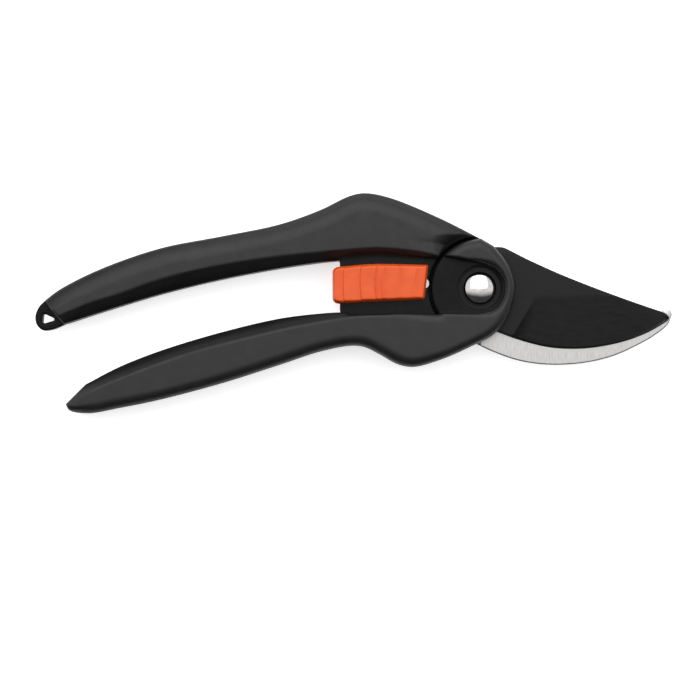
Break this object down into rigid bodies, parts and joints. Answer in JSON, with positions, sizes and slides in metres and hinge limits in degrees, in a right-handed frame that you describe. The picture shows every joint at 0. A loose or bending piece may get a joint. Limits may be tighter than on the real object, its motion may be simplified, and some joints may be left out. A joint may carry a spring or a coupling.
{
  "type": "bypass pruner",
  "caption": "Hand pruner with two black moulded grips, a coated bypass blade over a ground steel hook, a domed pivot bolt, a hidden opening spring and an orange sliding lock.",
  "frame": {"origin": "middle of the footprint, on the surface that the pruner lies on with its nut side down", "axes": "+X towards the blade tips, +Y towards the upper handle, +Z out of the front face, along the pivot"},
  "size_m": [0.2141, 0.074, 0.0184],
  "materials": {
    "grip_plastic": "fine moulded grain",
    "blade_coating": "satin low-friction coating",
    "ground_steel": "ground across the edge",
    "bolt_chrome": "polished",
    "black_washer": "black oxide",
    "lock_plastic": "satin orange",
    "zinc_steel": "zinc plated",
    "spring_steel": "drawn wire"
  },
  "bodies": {
    "upper": {"upper_handle": "grip_plastic", "counter_blade": "ground_steel", "pivot_bolt": "bolt_chrome", "bolt_washer": "black_washer", "spring_washer": "zinc_steel", "pivot_nut": "zinc_steel", "return_spring": "spring_steel", "detent_leaf": "spring_steel"},
    "lower": {"lower_handle": "grip_plastic", "cutting_blade": "blade_coating", "catch_pin": "zinc_steel"},
    "lock": {"lock_button": "lock_plastic", "lock_back": "lock_plastic", "lock_plate": "zinc_steel", "lock_posts": "zinc_steel"}
  },
  "joints": [
    {"name": "handle_pivot", "type": "hinge", "parent": "upper", "child": "lower", "pos_m": [0.0421, 0.005, 0.009], "axis": [0, 0, 1], "range_deg": [0, 28], "deforming": ["return_spring"]},
    {"name": "lock_slide", "type": "slide", "parent": "upper", "child": "lock", "axis": [-1, 0, 0], "range_m": [0, 0.005], "deforming": ["detent_leaf"]}
  ]
}
